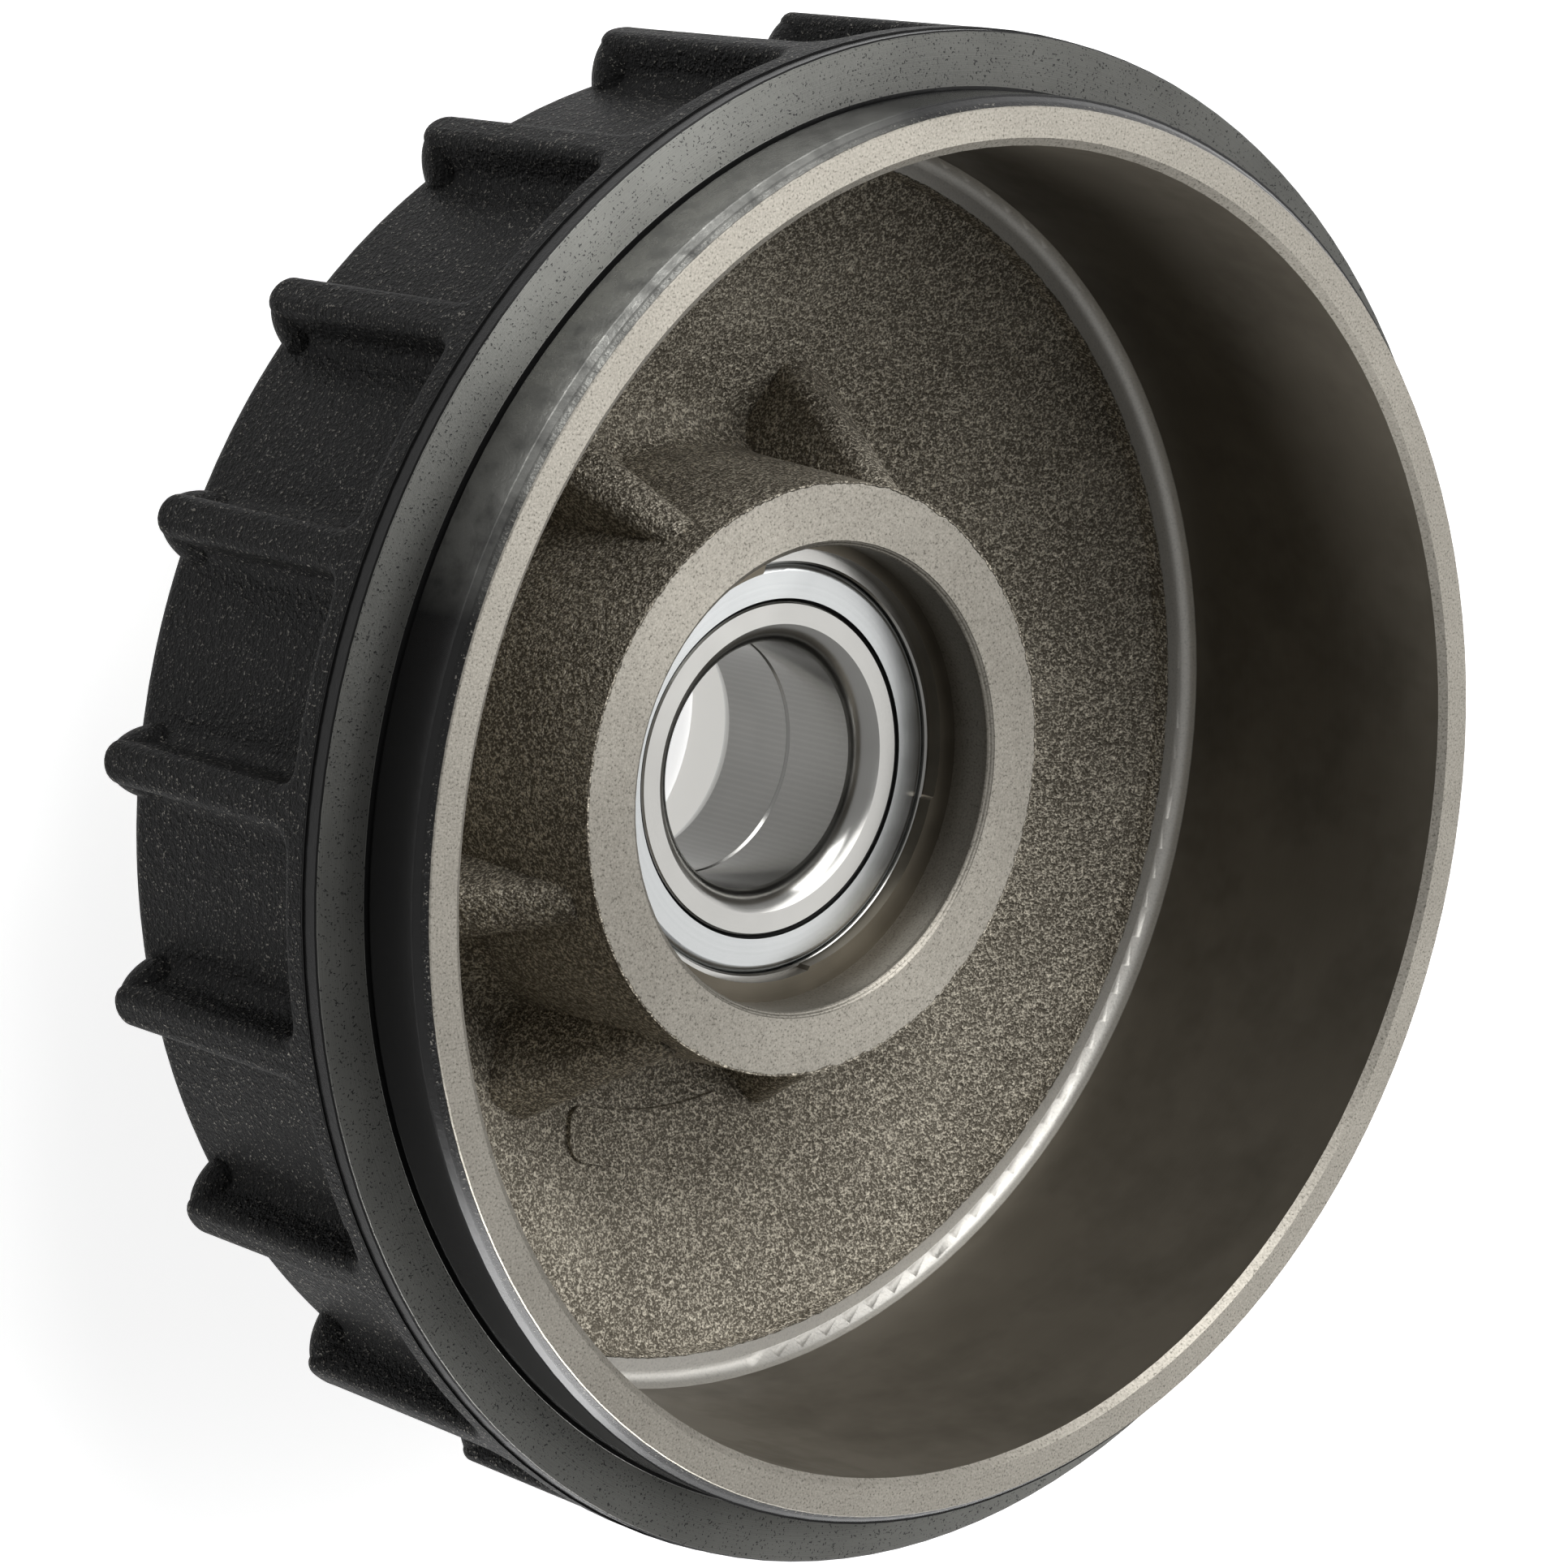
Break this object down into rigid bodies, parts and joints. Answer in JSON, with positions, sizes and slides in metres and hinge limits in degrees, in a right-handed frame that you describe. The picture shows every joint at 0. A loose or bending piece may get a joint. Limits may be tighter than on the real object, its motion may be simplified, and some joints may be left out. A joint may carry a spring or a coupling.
{
  "type": "brake drum",
  "caption": "Cast iron brake drum with outer cooling ribs and a gusseted hub that holds a double-row wheel bearing and its retaining ring; it turns on a stub axle.",
  "frame": {"origin": "on the drum axis, in the plane of the wheel spigot's end, on which the drum stands", "axes": "+Z along the drum axis, out of the open mouth; X and Y lie across it"},
  "size_m": [0.2326, 0.2326, 0.104],
  "materials": {
    "painted_casting": "satin black paint outside, machined or bare cast inside",
    "bearing_steel": "ground",
    "seal_sheet": "bright pressed sheet",
    "seal_rubber": "matt",
    "cage_polymer": "moulded",
    "ball_steel": "polished",
    "spring_steel": "phosphated"
  },
  "bodies": {
    "drum": {"drum_casting": "painted_casting", "retaining_ring": "spring_steel", "bearing_outer_ring": "bearing_steel", "seal_case_inboard": "seal_sheet", "seal_case_outboard": "seal_sheet", "seal_lip_inboard": "seal_rubber", "seal_lip_outboard": "seal_rubber"},
    "inner_race": {"inner_ring_inboard": "bearing_steel", "inner_ring_outboard": "bearing_steel"},
    "ball_set": {"cage_inboard": "cage_polymer", "cage_outboard": "cage_polymer", "ball_inboard_01": "ball_steel", "ball_inboard_02": "ball_steel", "ball_inboard_03": "ball_steel", "ball_inboard_04": "ball_steel", "ball_inboard_05": "ball_steel", "ball_inboard_06": "ball_steel", "ball_inboard_07": "ball_steel", "ball_inboard_08": "ball_steel", "ball_inboard_09": "ball_steel", "ball_inboard_10": "ball_steel", "ball_inboard_11": "ball_steel", "ball_inboard_12": "ball_steel", "ball_inboard_13": "ball_steel", "ball_outboard_01": "ball_steel", "ball_outboard_02": "ball_steel", "ball_outboard_03": "ball_steel", "ball_outboard_04": "ball_steel", "ball_outboard_05": "ball_steel", "ball_outboard_06": "ball_steel", "ball_outboard_07": "ball_steel", "ball_outboard_08": "ball_steel", "ball_outboard_09": "ball_steel", "ball_outboard_10": "ball_steel", "ball_outboard_11": "ball_steel", "ball_outboard_12": "ball_steel", "ball_outboard_13": "ball_steel"}
  },
  "joints": [
    {"name": "bearing_spin", "type": "hinge", "parent": "drum", "child": "inner_race", "pos_m": [0, 0, 0.036], "axis": [0, 0, 1], "continuous": true},
    {"name": "ball_orbit", "type": "hinge", "parent": "drum", "child": "ball_set", "pos_m": [0, 0, 0.036], "axis": [0, 0, 1], "continuous": true}
  ],
  "couplings": [
    {"joint": "ball_orbit", "follows": "bearing_spin", "ratio": 0.42}
  ]
}
